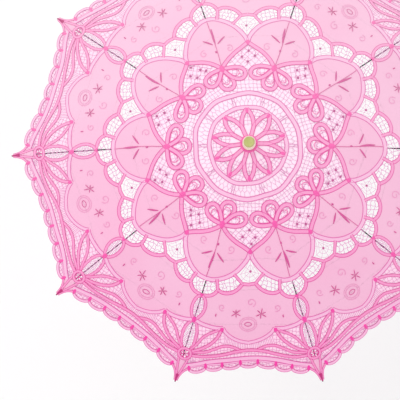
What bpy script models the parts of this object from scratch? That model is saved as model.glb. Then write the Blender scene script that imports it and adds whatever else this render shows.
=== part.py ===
"""An open lace parasol: a wooden shaft and handle, ten steel ribs with their stretchers,
a sliding runner, and a lace canopy made as one thin sector on each rib.

The shaft stands on +Z with the handle's butt at the origin, and rib 0 points along +X.
Each rib and its stretcher form an isosceles triangle with the shaft, so the runner slides
straight down as the ribs fold.
"""

import math

import bmesh
import bpy
from mathutils import Matrix, Vector

MM = 0.001

# The whole parasol
RIB_COUNT = 10
RIB_STEP = math.tau / RIB_COUNT
HALF_GORE = RIB_STEP / 2
LENGTH = 660 * MM  # handle butt to finial top
TIP_RADIUS = 400 * MM  # shaft axis to rib tip, seen from above
APEX_Z = 634 * MM  # underside of the canopy where it would meet the axis

# The canopy's height along a rib falls by slope * r + curve * r * r
DOME_SLOPE = 0.2
DOME_CURVE = 0.625
CANOPY_THICKNESS = 1.0 * MM
CANOPY_HOLE = 6.5 * MM
HEM_AT_MIDDLE = 371 * MM  # the hem's reach on the middle of a gore, measured on the rib
HEM_AT_RIB = 381 * MM
CORNER_REACH = 384 * MM
CANOPY_ROWS = 8
CANOPY_COLUMNS = (-1.0, -0.5, -0.08, 0.0, 0.08, 0.5, 1.0)

# Wood: shaft, handle, finial, crown hub and runner
SHAFT_RADIUS = 5.0 * MM
SHAFT_BOTTOM = 105.5 * MM
SHAFT_TOP = APEX_Z + 14 * MM
BORE_RADIUS = 5.3 * MM
RUNNER_BORE = 5.5 * MM
HANDLE_TOP = 165 * MM
HANDLE_BORE_FLOOR = 105 * MM
FLANGE_RADIUS = 12.5 * MM
FLANGE_HALF_HEIGHT = 3.5 * MM
COLLAR_RADIUS = 7.8 * MM
CROWN_COLLAR = 13.5 * MM
RUNNER_COLLAR = 6 * MM
RUNNER_TUBE = 50 * MM
NOTCH_WIDTH = 2.8 * MM
NOTCH_CEILING = 2.2 * MM
NOTCH_DEPTH = 8 * MM  # on the open side, past the end of the flange
NOTCH_REACH = 16 * MM
GROOVE_FLOOR = 9.2 * MM
GROOVE_HALF_HEIGHT = 1.0 * MM

# Steel: wires, eyes and pins
PIVOT_RADIUS = 10.3 * MM  # hinge line of each rib and each stretcher, from the shaft axis
PIVOT_DROP = 5.5 * MM  # crown hinge line below the canopy
HINGE_WIRE = 0.5 * MM
RIB_WIRE = 1.1 * MM
RIB_DROP = 2.2 * MM  # rib centre below the canopy, away from the crown
RIB_RISE_END = 50 * MM
RIB_END = 395 * MM
EYE_OUTER = 1.9 * MM
EYE_INNER = 0.8 * MM
EYE_WIDTH = 2.0 * MM
LUG_RADIUS = 170 * MM
LUG_DROP = 2.6 * MM
LUG_WIDTH = 1.8 * MM
TIP_START = 385 * MM
TIP_WIDE = 1.9 * MM
TIP_BORE = 1.45 * MM
TINE_THICKNESS = 0.7 * MM
TINE_OFFSET = 1.8 * MM
TINE_HEIGHT = 2.6 * MM
TINE_PAST_PIN = 1.6 * MM
TINE_TO_BRIDGE = 0.98  # the tines are a little lower than the bridge that joins them
FORK_START = 5.2 * MM
FORK_END = 7.6 * MM
CROSS_PIN_RADIUS = 0.8 * MM
CROSS_PIN_HOLE = 1.1 * MM
CROWN_PIN_HALF_LENGTH = 7.4 * MM
STOP_PIN_HALF_LENGTH = 7.0 * MM

# The two flat springs in the shaft
SPRING_THICKNESS = 1.6 * MM
SPRING_LENGTH = 34 * MM
CATCH_LENGTH = 10 * MM
CATCH_REACH = 8.3 * MM
SPRING_FACE = 3.2 * MM
SPRING_BACK = 0.6 * MM
SPRING_SLOT_WIDTH = 2.4 * MM
SPRING_SLOT_FLOOR = -3.0 * MM
CLOSED_RUNNER_Z = 296 * MM
LOWER_CATCH_RISE = 46 * MM  # above the hinge line of the closed runner
SPRING_ANGLE = HALF_GORE

WIRE_SIDES = 6
TURNED_SIDES = 20


def canopy_height(reach):
    """Height of the canopy's underside, for a reach measured along a rib."""
    return APEX_Z - DOME_SLOPE * reach - DOME_CURVE * reach * reach


def rib_height(radius):
    """Height of the rib's centre line: it dips to its hinge near the crown."""
    to_crown = max(0.0, (RIB_RISE_END - radius) / (RIB_RISE_END - PIVOT_RADIUS))
    drop = RIB_DROP + (PIVOT_DROP - RIB_DROP) * to_crown**2
    return canopy_height(radius) - drop


CROWN_Z = rib_height(PIVOT_RADIUS)
LUG_Z = rib_height(LUG_RADIUS) - LUG_DROP
RUNNER_Z = 2 * LUG_Z - CROWN_Z
CROWN_HINGE = Vector((PIVOT_RADIUS, 0, CROWN_Z))
LUG = Vector((LUG_RADIUS, 0, LUG_Z))
RUNNER_HINGE = Vector((PIVOT_RADIUS, 0, RUNNER_Z))
STOP_PIN_Z = RUNNER_Z + 8 * MM
CROWN_PIN_Z = CROWN_Z - 9 * MM
TOP_CATCH_Z = RUNNER_Z - RUNNER_TUBE - 1 * MM
LOWER_CATCH_Z = CLOSED_RUNNER_Z + LOWER_CATCH_RISE


def clear_scene():
    """Empties the scene the script starts in."""
    for old in list(bpy.data.objects):
        bpy.data.objects.remove(old, do_unlink=True)


def material(name, colour, roughness, metallic=0.0):
    made = bpy.data.materials.new(name)
    made.use_nodes = True
    shader = made.node_tree.nodes["Principled BSDF"]
    shader.inputs["Base Color"].default_value = (*colour, 1.0)
    shader.inputs["Roughness"].default_value = roughness
    shader.inputs["Metallic"].default_value = metallic
    return made


def empty(name, location, parent=None, turn=0.0):
    made = bpy.data.objects.new(name, None)
    made.location = location
    made.rotation_euler.z = turn
    made.parent = parent
    bpy.context.scene.collection.objects.link(made)
    return made


def place(name, mesh, surface, parent=None):
    """A named object for a finished mesh, which copies of it may share."""
    if not mesh.materials:
        mesh.materials.append(surface)
    made = bpy.data.objects.new(name, mesh)
    made.parent = parent
    bpy.context.scene.collection.objects.link(made)
    return made


def finished(shape, name):
    """Turns a bmesh into a mesh with outward faces and smooth round sides."""
    bmesh.ops.recalc_face_normals(shape, faces=shape.faces)
    mesh = bpy.data.meshes.new(name)
    shape.to_mesh(mesh)
    shape.free()
    mesh.shade_smooth()
    mesh.set_sharp_from_angle(angle=math.radians(35))
    return mesh


def lathe(name, profile, sides=TURNED_SIDES):
    """Turns a closed outline of (radius, height) points about the Z axis."""
    shape = bmesh.new()
    corners = [shape.verts.new((radius, 0, height)) for radius, height in profile]
    edges = [shape.edges.new(pair) for pair in zip(corners, corners[1:] + corners[:1])]
    bmesh.ops.spin(
        shape,
        geom=corners + edges,
        cent=(0, 0, 0),
        axis=(0, 0, 1),
        angle=math.tau,
        steps=sides,
        use_merge=True,
    )
    bmesh.ops.remove_doubles(shape, verts=shape.verts, dist=1e-6)
    on_axis = [
        face for face in shape.faces if face.calc_area() < 1e-14 or len(face.verts) < 3
    ]
    bmesh.ops.delete(shape, geom=on_axis, context="FACES")
    loose = [edge for edge in shape.edges if not edge.link_faces]
    bmesh.ops.delete(shape, geom=loose, context="EDGES")
    return finished(shape, name)


def sweep(name, path, radius, sides=WIRE_SIDES, closed=False, side=Vector((0, 1, 0))):
    """A round wire along a path; side is across the path, or None to use the Z axis."""
    shape = bmesh.new()
    rings = []
    count = len(path)
    mitre = 1 / math.cos(HALF_GORE) if closed else 1.0
    for i, point in enumerate(path):
        before = path[i - 1] if closed or i else path[i]
        after = path[(i + 1) % count] if closed or i < count - 1 else path[i]
        along = (after - before).normalized()
        across = side if side else along.cross(Vector((0, 0, 1))).normalized()
        up = across.cross(along)
        ring = []
        for k in range(sides):
            angle = math.tau * (k + 0.5) / sides
            out = across * math.cos(angle) * mitre + up * math.sin(angle)
            ring.append(shape.verts.new(point + out * radius))
        rings.append(ring)
    following = rings[1:] + rings[:1] if closed else rings[1:]
    for first, second in zip(rings, following):
        for k in range(sides):
            n = (k + 1) % sides
            shape.faces.new((first[k], first[n], second[n], second[k]))
    if not closed:
        shape.faces.new(rings[0])
        shape.faces.new(rings[-1])
    return finished(shape, name)


def box(name, low, high, turn=None):
    """A box between two corners, turned about the origin by a matrix if one is given."""
    shape = bmesh.new()
    bmesh.ops.create_cube(shape, size=1.0)
    low, high = Vector(low), Vector(high)
    size = high - low
    for vertex in shape.verts:
        vertex.co = Vector(v * s for v, s in zip(vertex.co, size)) + (low + high) / 2
    if turn:
        bmesh.ops.transform(shape, matrix=turn, verts=shape.verts)
    return finished(shape, name)


def rod(name, start, end, radius, sides=WIRE_SIDES):
    """A straight round bar between two points."""
    start, end = Vector(start), Vector(end)
    shape = bmesh.new()
    length = (end - start).length
    bmesh.ops.create_cone(
        shape, cap_ends=True, segments=sides, radius1=radius, radius2=radius, depth=length
    )
    turn = (end - start).to_track_quat("Z", "Y").to_matrix().to_4x4()
    move = Matrix.Translation((start + end) / 2)
    bmesh.ops.transform(shape, matrix=move @ turn, verts=shape.verts)
    return finished(shape, name)


def eye(name, centre, width):
    """A flat ring around a hinge line that runs along Y."""
    ring = lathe(
        name,
        [
            (EYE_INNER, -width / 2),
            (EYE_OUTER, -width / 2),
            (EYE_OUTER, width / 2),
            (EYE_INNER, width / 2),
        ],
        sides=12,
    )
    ring.transform(Matrix.Translation(centre) @ Matrix.Rotation(math.pi / 2, 4, "X"))
    return ring


def combine(first, others, operation):
    """Joins or cuts the first mesh with the others, one exact Boolean after another."""
    body = bpy.data.objects.new("body", first)
    bpy.context.scene.collection.objects.link(body)
    tools = []
    for mesh in others:
        tool = bpy.data.objects.new("tool", mesh)
        bpy.context.scene.collection.objects.link(tool)
        tools.append(tool)
        step = body.modifiers.new("step", "BOOLEAN")
        step.operation = operation
        step.solver = "EXACT"
        step.object = tool
    bpy.context.view_layer.update()
    graph = bpy.context.evaluated_depsgraph_get()
    result = bpy.data.meshes.new_from_object(body.evaluated_get(graph))
    for used in [body, *tools]:
        bpy.data.objects.remove(used, do_unlink=True)
    result.materials.clear()
    return result


def spokes(name, inner, outer, half_width, low, high):
    """Ten radial boxes in one mesh, the cutter for the hinge notches."""
    shape = bmesh.new()
    for i in range(RIB_COUNT):
        made = bmesh.ops.create_cube(shape, size=1.0)["verts"]
        size = Matrix.Diagonal((outer - inner, 2 * half_width, high - low, 1))
        move = Matrix.Translation(((inner + outer) / 2, 0, (low + high) / 2))
        turn = Matrix.Rotation(i * RIB_STEP, 4, "Z")
        bmesh.ops.transform(shape, matrix=turn @ move @ size, verts=made)
    return finished(shape, name)


def notched_flange(name, tail, bore, facing):
    """A turned collar whose flange holds ten eyes on a ring of wire.

    facing is 1 where the closed plate is on top, as on the crown, and -1 on the runner.
    tail lists the (radius, height) points of the collar beyond the open side.
    """
    profile = [
        (bore, FLANGE_HALF_HEIGHT),
        (FLANGE_RADIUS, FLANGE_HALF_HEIGHT),
        (FLANGE_RADIUS, GROOVE_HALF_HEIGHT),
        (GROOVE_FLOOR, GROOVE_HALF_HEIGHT),
        (GROOVE_FLOOR, -GROOVE_HALF_HEIGHT),
        (FLANGE_RADIUS, -GROOVE_HALF_HEIGHT),
        (FLANGE_RADIUS, -FLANGE_HALF_HEIGHT),
        (COLLAR_RADIUS, -FLANGE_HALF_HEIGHT),
        *tail,
        (bore, tail[-1][1]),
    ]
    turned = lathe(name, [(radius, facing * height) for radius, height in profile])
    ends = sorted((-facing * NOTCH_DEPTH, facing * NOTCH_CEILING))
    notches = spokes("notches", COLLAR_RADIUS, NOTCH_REACH, NOTCH_WIDTH / 2, *ends)
    return combine(turned, [notches], "DIFFERENCE")


def crown_hub_mesh():
    hub = notched_flange("crown_hub", [(COLLAR_RADIUS, -CROWN_COLLAR)], BORE_RADIUS, 1)
    hub.transform(Matrix.Translation((0, 0, CROWN_Z)))
    return combine(hub, [cross_hole(CROWN_PIN_Z)], "DIFFERENCE")


def runner_mesh():
    """The runner's flange with its short collar above and its long sleeve below."""
    top = notched_flange("runner_flange", [(COLLAR_RADIUS, -RUNNER_COLLAR)], RUNNER_BORE, -1)
    bottom = -RUNNER_TUBE
    sleeve = lathe(
        "runner_sleeve",
        [
            (RUNNER_BORE, -3 * MM),
            (9 * MM, -3 * MM),
            (8.5 * MM, -8 * MM),
            (8.5 * MM, bottom + 8 * MM),
            (10.5 * MM, bottom + 6 * MM),
            (10.5 * MM, bottom + 2 * MM),
            (9 * MM, bottom),
            (RUNNER_BORE, bottom),
        ],
    )
    runner = combine(top, [sleeve], "UNION")
    runner.transform(Matrix.Translation((-PIVOT_RADIUS, 0, 0)))
    return runner


def hinge_ring_mesh(name, height):
    """A ring of wire with a straight side across each hinge."""
    corner = PIVOT_RADIUS / math.cos(HALF_GORE)
    angles = [HALF_GORE + i * RIB_STEP for i in range(RIB_COUNT)]
    path = [Vector((corner * math.cos(a), corner * math.sin(a), height)) for a in angles]
    return sweep(name, path, HINGE_WIRE, closed=True, side=None)


def rib_path():
    """Points along the rib's centre line, closer together near the crown."""
    start = PIVOT_RADIUS + 1.3 * MM
    count = 11
    points = []
    for i in range(count):
        share = i / (count - 1)
        radius = start + (RIB_END - start) * share**1.4
        points.append(Vector((radius, 0, rib_height(radius))) - CROWN_HINGE)
    return points


def rib_mesh():
    wire = sweep("rib", rib_path(), RIB_WIRE)
    crown_eye = eye("crown_eye", (0, 0, 0), EYE_WIDTH)
    lug = eye("lug", LUG - CROWN_HINGE, LUG_WIDTH)
    return combine(wire, [crown_eye, lug], "UNION")


def rib_tip_mesh():
    """A turned cap on the rib's end, open towards the crown."""
    end = Vector((TIP_RADIUS, 0, rib_height(TIP_RADIUS)))
    start = Vector((TIP_START, 0, rib_height(TIP_START)))
    length = (end - start).length
    cap = lathe(
        "rib_tip",
        [
            (TIP_BORE, 0),
            (TIP_WIDE, 0),
            (TIP_WIDE, length * 0.75),
            (TIP_WIDE * 0.6, length - 0.2 * MM),
            (0, length - 0.2 * MM),
            (0, length * 0.8),
            (TIP_BORE, length * 0.8),
        ],
        sides=8,
    )
    turn = (end - start).to_track_quat("Z", "Y").to_matrix().to_4x4()
    cap.transform(Matrix.Translation(start - CROWN_HINGE) @ turn)
    return cap


def stretcher_mesh():
    """A straight wire from the runner's ring to a fork and pin at the rib's lug."""
    reach = RUNNER_HINGE - LUG
    along = reach.normalized()
    turn = Matrix.Rotation(math.atan2(-along.z, along.x), 4, "Y")
    wire_end = reach - along * 1.3 * MM
    wire = rod("stretcher", along * (FORK_START + 1 * MM), wire_end, RIB_WIRE)
    half = TINE_HEIGHT / 2
    outer = TINE_OFFSET + TINE_THICKNESS / 2
    bridge = box("bridge", (FORK_START, -outer, -half), (FORK_END, outer, half), turn)
    tines = []
    for side in (-1, 1):
        faces = sorted((side * (TINE_OFFSET - TINE_THICKNESS / 2), side * outer))
        low = (-TINE_PAST_PIN, faces[0], -half * TINE_TO_BRIDGE)
        high = (FORK_START + 1 * MM, faces[1], half * TINE_TO_BRIDGE)
        tines.append(box("tine", low, high, turn))
    pin = rod("pin", (0, -TINE_OFFSET, 0), (0, TINE_OFFSET, 0), HINGE_WIRE)
    lower_eye = eye("lower_eye", reach, EYE_WIDTH)
    return combine(wire, [bridge, *tines, pin, lower_eye], "UNION")


def canopy_point(reach, share):
    """A point on the canopy: share runs from 0 on the rib to 1 or -1 at mid-gore.

    The cloth is pulled straight from rib to rib, so the height depends on reach alone.
    """
    middle = reach * math.cos(HALF_GORE)
    across = abs(share)
    x = (1 - across) * reach + across * middle * math.cos(HALF_GORE)
    y = share * middle * math.sin(HALF_GORE)
    return Vector((x, y, canopy_height(reach)))


def hem_reach(share):
    """The hem is a little slack between the ribs and drawn out to a corner on each."""
    if share == 0:
        return CORNER_REACH
    return HEM_AT_RIB + (HEM_AT_MIDDLE - HEM_AT_RIB) * abs(share)


def canopy_sector_mesh():
    """A thin shell of canopy on one rib, from mid-gore to mid-gore."""
    shape = bmesh.new()
    side_gap = 0.15 * MM
    layers = []
    for lift in (0.0, CANOPY_THICKNESS):
        grid = []
        for row in range(CANOPY_ROWS + 1):
            line = []
            for share in CANOPY_COLUMNS:
                reach = CANOPY_HOLE + (hem_reach(share) - CANOPY_HOLE) * row / CANOPY_ROWS
                point = canopy_point(reach, share)
                if abs(share) == 1:
                    inward = Vector((math.sin(HALF_GORE), -share * math.cos(HALF_GORE), 0))
                    point += inward * side_gap
                line.append(shape.verts.new(point + Vector((0, 0, lift)) - CROWN_HINGE))
            grid.append(line)
        layers.append(grid)
    low, high = layers
    rows, columns = range(CANOPY_ROWS), range(len(CANOPY_COLUMNS) - 1)
    for grid in layers:
        for r in rows:
            for c in columns:
                shape.faces.new((grid[r][c], grid[r][c + 1], grid[r + 1][c + 1], grid[r + 1][c]))
    for r in rows:
        for c in (0, -1):
            shape.faces.new((low[r][c], low[r + 1][c], high[r + 1][c], high[r][c]))
    for c in columns:
        for r in (0, -1):
            shape.faces.new((low[r][c], low[r][c + 1], high[r][c + 1], high[r][c]))
    return finished(shape, "canopy_sector")


def cross_hole(height):
    """A cutter through the shaft, square to the springs."""
    across = Vector((-math.sin(SPRING_ANGLE), math.cos(SPRING_ANGLE), 0)) * 20 * MM
    middle = Vector((0, 0, height))
    return rod("cross_hole", middle - across, middle + across, CROSS_PIN_HOLE, sides=8)


def cross_pin_mesh(name, height, half_length):
    """A pin through the shaft, in a cross hole."""
    across = Vector((-math.sin(SPRING_ANGLE), math.cos(SPRING_ANGLE), 0)) * half_length
    middle = Vector((0, 0, height))
    return rod(name, middle - across, middle + across, CROSS_PIN_RADIUS, sides=8)


def spring_slot(catch_z):
    """A cutter for the slot in which a spring lies."""
    turn = Matrix.Rotation(SPRING_ANGLE, 4, "Z")
    half = SPRING_SLOT_WIDTH / 2
    low = (SPRING_SLOT_FLOOR, -half, catch_z - SPRING_LENGTH - 0.5 * MM)
    high = (9 * MM, half, catch_z + 0.5 * MM)
    return box("slot", low, high, turn)


def spring_mesh(name, catch_z):
    """A flat spring that lies in the shaft, with a wedge that stands out of it."""
    outline = [
        (SPRING_BACK, catch_z - SPRING_LENGTH),
        (SPRING_FACE, catch_z - SPRING_LENGTH),
        (SPRING_FACE, catch_z - CATCH_LENGTH),
        (CATCH_REACH, catch_z - 1 * MM),
        (CATCH_REACH, catch_z),
        (SPRING_BACK, catch_z),
    ]
    shape = bmesh.new()
    half = SPRING_THICKNESS / 2
    corners = [shape.verts.new((x, -half, z)) for x, z in outline]
    face = shape.faces.new(corners)
    grown = bmesh.ops.extrude_face_region(shape, geom=[face])["geom"]
    moved = [item for item in grown if isinstance(item, bmesh.types.BMVert)]
    bmesh.ops.translate(shape, vec=(0, 2 * half, 0), verts=moved)
    turn = Matrix.Rotation(SPRING_ANGLE, 4, "Z")
    bmesh.ops.transform(shape, matrix=turn, verts=shape.verts)
    return finished(shape, name)


def shaft_mesh():
    shaft = lathe(
        "shaft",
        [
            (0, SHAFT_BOTTOM),
            (SHAFT_RADIUS, SHAFT_BOTTOM),
            (SHAFT_RADIUS, SHAFT_TOP),
            (0, SHAFT_TOP),
        ],
        sides=16,
    )
    cuts = [spring_slot(TOP_CATCH_Z), spring_slot(LOWER_CATCH_Z)]
    cuts += [cross_hole(STOP_PIN_Z), cross_hole(CROWN_PIN_Z)]
    return combine(shaft, cuts, "DIFFERENCE")


def handle_mesh():
    """A turned grip with a flat butt and a bore for the shaft's end."""
    return lathe(
        "handle",
        [
            (0, 0),
            (9.5 * MM, 0),
            (12.2 * MM, 3 * MM),
            (13.0 * MM, 10 * MM),
            (10.8 * MM, 20 * MM),
            (10.0 * MM, 26 * MM),
            (11.8 * MM, 48 * MM),
            (12.2 * MM, 75 * MM),
            (11.2 * MM, 105 * MM),
            (9.0 * MM, 135 * MM),
            (8.2 * MM, 146 * MM),
            (10.0 * MM, 151 * MM),
            (10.0 * MM, 158 * MM),
            (8.2 * MM, HANDLE_TOP),
            (BORE_RADIUS, HANDLE_TOP),
            (BORE_RADIUS, HANDLE_BORE_FLOOR),
            (0, HANDLE_BORE_FLOOR),
        ],
    )


def handle_collar_mesh():
    base = HANDLE_TOP + 0.3 * MM
    return lathe(
        "handle_collar",
        [
            (BORE_RADIUS, base),
            (7.6 * MM, base),
            (7.6 * MM, base + 4 * MM),
            (6.4 * MM, base + 6 * MM),
            (BORE_RADIUS, base + 6 * MM),
        ],
    )


def finial_mesh():
    """The turned knob above the canopy, bored from below for the shaft."""
    bore_top = SHAFT_TOP + 0.3 * MM
    return lathe(
        "finial",
        [
            (BORE_RADIUS, APEX_Z + 1.8 * MM),
            (10.2 * MM, APEX_Z + 0.9 * MM),
            (10.6 * MM, APEX_Z + 2.6 * MM),
            (9.0 * MM, APEX_Z + 5.0 * MM),
            (9.4 * MM, APEX_Z + 8.0 * MM),
            (10.5 * MM, APEX_Z + 13.0 * MM),
            (10.5 * MM, APEX_Z + 18.0 * MM),
            (9.2 * MM, APEX_Z + 22.5 * MM),
            (7.0 * MM, LENGTH),
            (0, LENGTH),
            (0, bore_top),
            (BORE_RADIUS, bore_top),
        ],
    )


def crown_washer_mesh():
    """A thin washer between the crown hub and the canopy."""
    base = CROWN_Z + FLANGE_HALF_HEIGHT + 0.3 * MM
    return lathe(
        "crown_washer",
        [
            (BORE_RADIUS, base),
            (11.0 * MM, base),
            (11.0 * MM, base + 0.6 * MM),
            (BORE_RADIUS, base + 0.6 * MM),
        ],
    )


def canopy_cap_mesh():
    """A small cone of cloth over the canopy's centre, under the finial."""
    inner, outer = BORE_RADIUS, 13.5 * MM
    lift, thickness = CANOPY_THICKNESS + 0.35 * MM, 0.8 * MM
    slope = [(radius, APEX_Z - DOME_SLOPE * radius + lift) for radius in (inner, outer)]
    return lathe(
        "canopy_cap",
        [
            slope[0],
            slope[1],
            (slope[1][0], slope[1][1] + thickness),
            (slope[0][0], slope[0][1] + thickness),
        ],
    )


def build_root(finishes):
    wood, brass, steel, cloth = (finishes[k] for k in ("wood", "brass", "steel", "cloth"))
    place("shaft", shaft_mesh(), wood)
    place("handle", handle_mesh(), wood)
    place("handle_collar", handle_collar_mesh(), brass)
    place("finial", finial_mesh(), finishes["finial"])
    place("crown_hub", crown_hub_mesh(), wood)
    place("crown_wire", hinge_ring_mesh("crown_wire", CROWN_Z), steel)
    place("crown_washer", crown_washer_mesh(), finishes["felt"])
    place("crown_pin", cross_pin_mesh("crown_pin", CROWN_PIN_Z, CROWN_PIN_HALF_LENGTH), steel)
    place("stop_pin", cross_pin_mesh("stop_pin", STOP_PIN_Z, STOP_PIN_HALF_LENGTH), steel)
    place("canopy_cap", canopy_cap_mesh(), cloth)


def build_ribs(finishes):
    """Ribs, tips, canopy sectors and stretchers, each set on empties at its hinges."""
    steel = finishes["steel"]
    rib, tip, sector = rib_mesh(), rib_tip_mesh(), canopy_sector_mesh()
    stretcher = stretcher_mesh()
    for i in range(RIB_COUNT):
        turn = i * RIB_STEP
        hinge = Matrix.Rotation(turn, 3, "Z") @ CROWN_HINGE
        pivot = empty(f"rib_pivot_{i}", hinge, turn=turn)
        place(f"rib_{i}", rib, steel, pivot)
        place(f"rib_tip_{i}", tip, finishes["tip"], pivot)
        place(f"canopy_sector_{i}", sector, finishes["cloth"], pivot)
        lug = empty(f"stretcher_pivot_{i}", LUG - CROWN_HINGE, pivot)
        place(f"stretcher_{i}", stretcher, steel, lug)


def build_runner(finishes):
    pivot = empty("runner_pivot", RUNNER_HINGE)
    place("runner", runner_mesh(), finishes["wood"], pivot)
    ring = hinge_ring_mesh("runner_wire", RUNNER_Z)
    ring.transform(Matrix.Translation(-RUNNER_HINGE))
    place("runner_wire", ring, finishes["steel"], pivot)


def build_springs(finishes):
    place("top_spring", spring_mesh("top_spring", TOP_CATCH_Z), finishes["steel"])
    place("lower_spring", spring_mesh("lower_spring", LOWER_CATCH_Z), finishes["steel"])


def make_finishes():
    return {
        "wood": material("varnished_wood", (0.36, 0.19, 0.09), 0.35),
        "finial": material("finial_wood", (0.45, 0.39, 0.18), 0.4),
        "brass": material("brass", (0.70, 0.50, 0.20), 0.3, 1.0),
        "steel": material("dark_steel", (0.05, 0.05, 0.055), 0.4, 1.0),
        "tip": material("dark_tip", (0.10, 0.04, 0.06), 0.4, 0.6),
        "felt": material("felt", (0.80, 0.45, 0.60), 0.9),
        "cloth": material("pink_lace", (0.90, 0.50, 0.68), 0.85),
    }


def main():
    clear_scene()
    finishes = make_finishes()
    build_root(finishes)
    build_ribs(finishes)
    build_runner(finishes)
    build_springs(finishes)


main()
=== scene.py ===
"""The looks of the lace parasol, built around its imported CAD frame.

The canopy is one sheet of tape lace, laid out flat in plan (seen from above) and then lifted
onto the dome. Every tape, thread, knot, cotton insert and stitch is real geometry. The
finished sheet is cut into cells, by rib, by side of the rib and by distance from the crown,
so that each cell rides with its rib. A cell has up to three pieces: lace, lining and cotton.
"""

import math
from collections import defaultdict

import bpy
import numpy as np
from mathutils import Matrix, Vector, geometry


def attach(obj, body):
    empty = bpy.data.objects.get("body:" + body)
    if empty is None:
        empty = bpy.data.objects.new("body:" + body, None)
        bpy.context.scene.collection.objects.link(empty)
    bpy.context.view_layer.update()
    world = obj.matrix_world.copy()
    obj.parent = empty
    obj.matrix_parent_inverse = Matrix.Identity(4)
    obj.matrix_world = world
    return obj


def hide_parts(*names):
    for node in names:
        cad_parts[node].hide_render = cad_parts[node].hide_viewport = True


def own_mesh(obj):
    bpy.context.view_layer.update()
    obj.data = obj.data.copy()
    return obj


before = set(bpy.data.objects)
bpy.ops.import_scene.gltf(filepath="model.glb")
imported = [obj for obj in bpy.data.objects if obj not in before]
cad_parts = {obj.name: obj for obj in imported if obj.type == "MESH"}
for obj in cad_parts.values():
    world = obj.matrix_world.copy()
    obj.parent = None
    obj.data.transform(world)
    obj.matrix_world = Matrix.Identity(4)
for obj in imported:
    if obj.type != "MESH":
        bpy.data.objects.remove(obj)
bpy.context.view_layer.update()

MM = 0.001
RIBS = 10
STEP = math.tau / RIBS
HALF = STEP / 2
random = np.random.default_rng(20)

# The dome, as the CAD has it
APEX = 634 * MM
DOME_SLOPE = 0.2
DOME_CURVE = 0.625
HINGE_RADIUS = 10.3 * MM
HINGE_DROP = 5.5 * MM
CLOSING_ANGLE = math.radians(64)
CLOTH_LIFT = 0.6 * MM  # middle of the cloth above the CAD canopy's underside

# Paint, dye, painted light and ground
FINIAL_FACE = 657.5 * MM  # the height above which the finial is painted
PAINTED_LIGHT_REACH = (-0.36, 0.3)  # along Y, in metres, from where the pink is deepest to where it is palest: painted light, brightest towards +Y
PAINTED_LIGHT_SATURATION = (1.12, 0.86)  # how saturated the colour is there: painted shade at the deep end, painted light at the pale end
THREAD_SPACING = 1 / 2200  # metres from thread to thread in the plain cloth

# Camera, lamp and floor, in metres, millimetres of lens, degrees and watts
CAMERA_PLACE = (-0.026, -0.2497, APEX + 2.3435)
CAMERA_TILTS = (("Z", 0.213), ("Y", -1.246), ("X", -3.935))
LENS, SENSOR = 135, 36
LAMP_PLACE, LAMP_TARGET = (-1.2, 1.6, 3.4), (0, 0, 0.5)
LAMP_WIDTH, LAMP_POWER = 2.2, 24
FLOOR, FLOOR_REACH = -0.5, 12  # the floor's height, and how far it goes from the middle

# Cells of cloth that ride together with a rib: the edges of their bands are reaches along a rib
BANDS = np.array([0, 48, 72, 100, 145, 190, 240, 300, 350, 420]) * MM
LAST_BAND = len(BANDS) - 2
CLOTH_END = 395 * MM  # the reach at which the last band's cloth ends
FOLD_KEEP = 0.04  # how much of a cell's width is left across the rib when the parasol is closed
STEEPEST_FOLD = math.radians(80)
NARROW = 5 * MM  # what crosses a cell's side by less than this isn't cut there
OVERLAP = 0.3 * MM  # how far the cloth of one cell reaches over the next
SAME_POINT = 1e-6  # metres; closer points of an outline are one
SLIVER = 1e-10  # square metres; thinner triangles are left out
SHARP_EDGE = math.radians(75)
NET_SHORTEST = 1.5 * MM  # shorter threads are left out of a net
NET_STEP = 3.2 * MM  # from one waver of a net's thread to the next
NET_BASE = -0.25  # mm; how high a net's threads lie over the middle of the cloth
SMALLEST_PIECE = 2e-4  # square metres; a smaller piece of cloth goes with the lace beside it
OPENEST = 0.301  # least share of its box that a piece is counted as filling; only open nets have less

# Design radii on a rib, in millimetres
FLOWER_START, FLOWER_TIP = 11.0, 57.0
INNER_RING, OUTER_RING = 60.3, 84.0
CLOVER = 132.0
CROSSING = 292.0
ROSETTE = 349.0
TIP_ANGLES = (14, 55, 94, 131, 168, 202, 238, 272, 306, 345)  # of the flower, in degrees
RING_CENTRE = (-2.2, -1.0)  # the lace is sewn on slightly beside the shaft


# ---------------------------------------------------------------- plan and dome


def reach_of(plan):
    """How far along a rib the cloth at each plan point sits: it is straight across a gore."""
    angle = np.arctan2(plan[..., 1], plan[..., 0])
    from_middle = np.mod(angle, STEP) - HALF
    return np.hypot(plan[..., 0], plan[..., 1]) * np.cos(from_middle) / math.cos(HALF)


def dome_at(reach):
    """The dome's height at a reach along a rib."""
    return APEX - DOME_SLOPE * reach - DOME_CURVE * reach**2


def wander(plan):
    """The small unevenness of hand work, the same for everything at one place."""
    x, y = plan[..., 0] / MM, plan[..., 1] / MM
    fade = np.clip(np.hypot(x, y) / 60, 0, 1)
    dx = 1.1 * np.sin(x / 23 + 1.3 * np.sin(y / 37)) + 0.7 * np.sin(y / 13 + 2.0)
    dy = 1.1 * np.sin(y / 27 + 1.1 * np.sin(x / 31 + 1)) + 0.7 * np.sin(x / 15 + 0.5)
    edge = np.clip((400 - np.hypot(x, y)) / 40, 0, 1)
    return plan + np.stack([dx, dy], -1) * (fade * edge)[..., None] * MM


def ripple(plan):
    """Slight puckers of the cloth, as a height."""
    x, y = plan[..., 0] / MM, plan[..., 1] / MM
    small = np.sin(x / 5.1 + 2 * np.sin(y / 11)) * np.sin(y / 6.3 + 2 * np.sin(x / 13))
    wide = np.sin(x / 17 + np.sin(y / 19)) * np.sin(y / 21)
    return (0.12 * small + 0.35 * wide) * MM


def lifted(plan, height):
    """Plan points put on the dome, height above its surface."""
    z = dome_at(reach_of(plan)) + CLOTH_LIFT + ripple(plan) + height
    return np.concatenate([plan, z[..., None]], -1)


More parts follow.
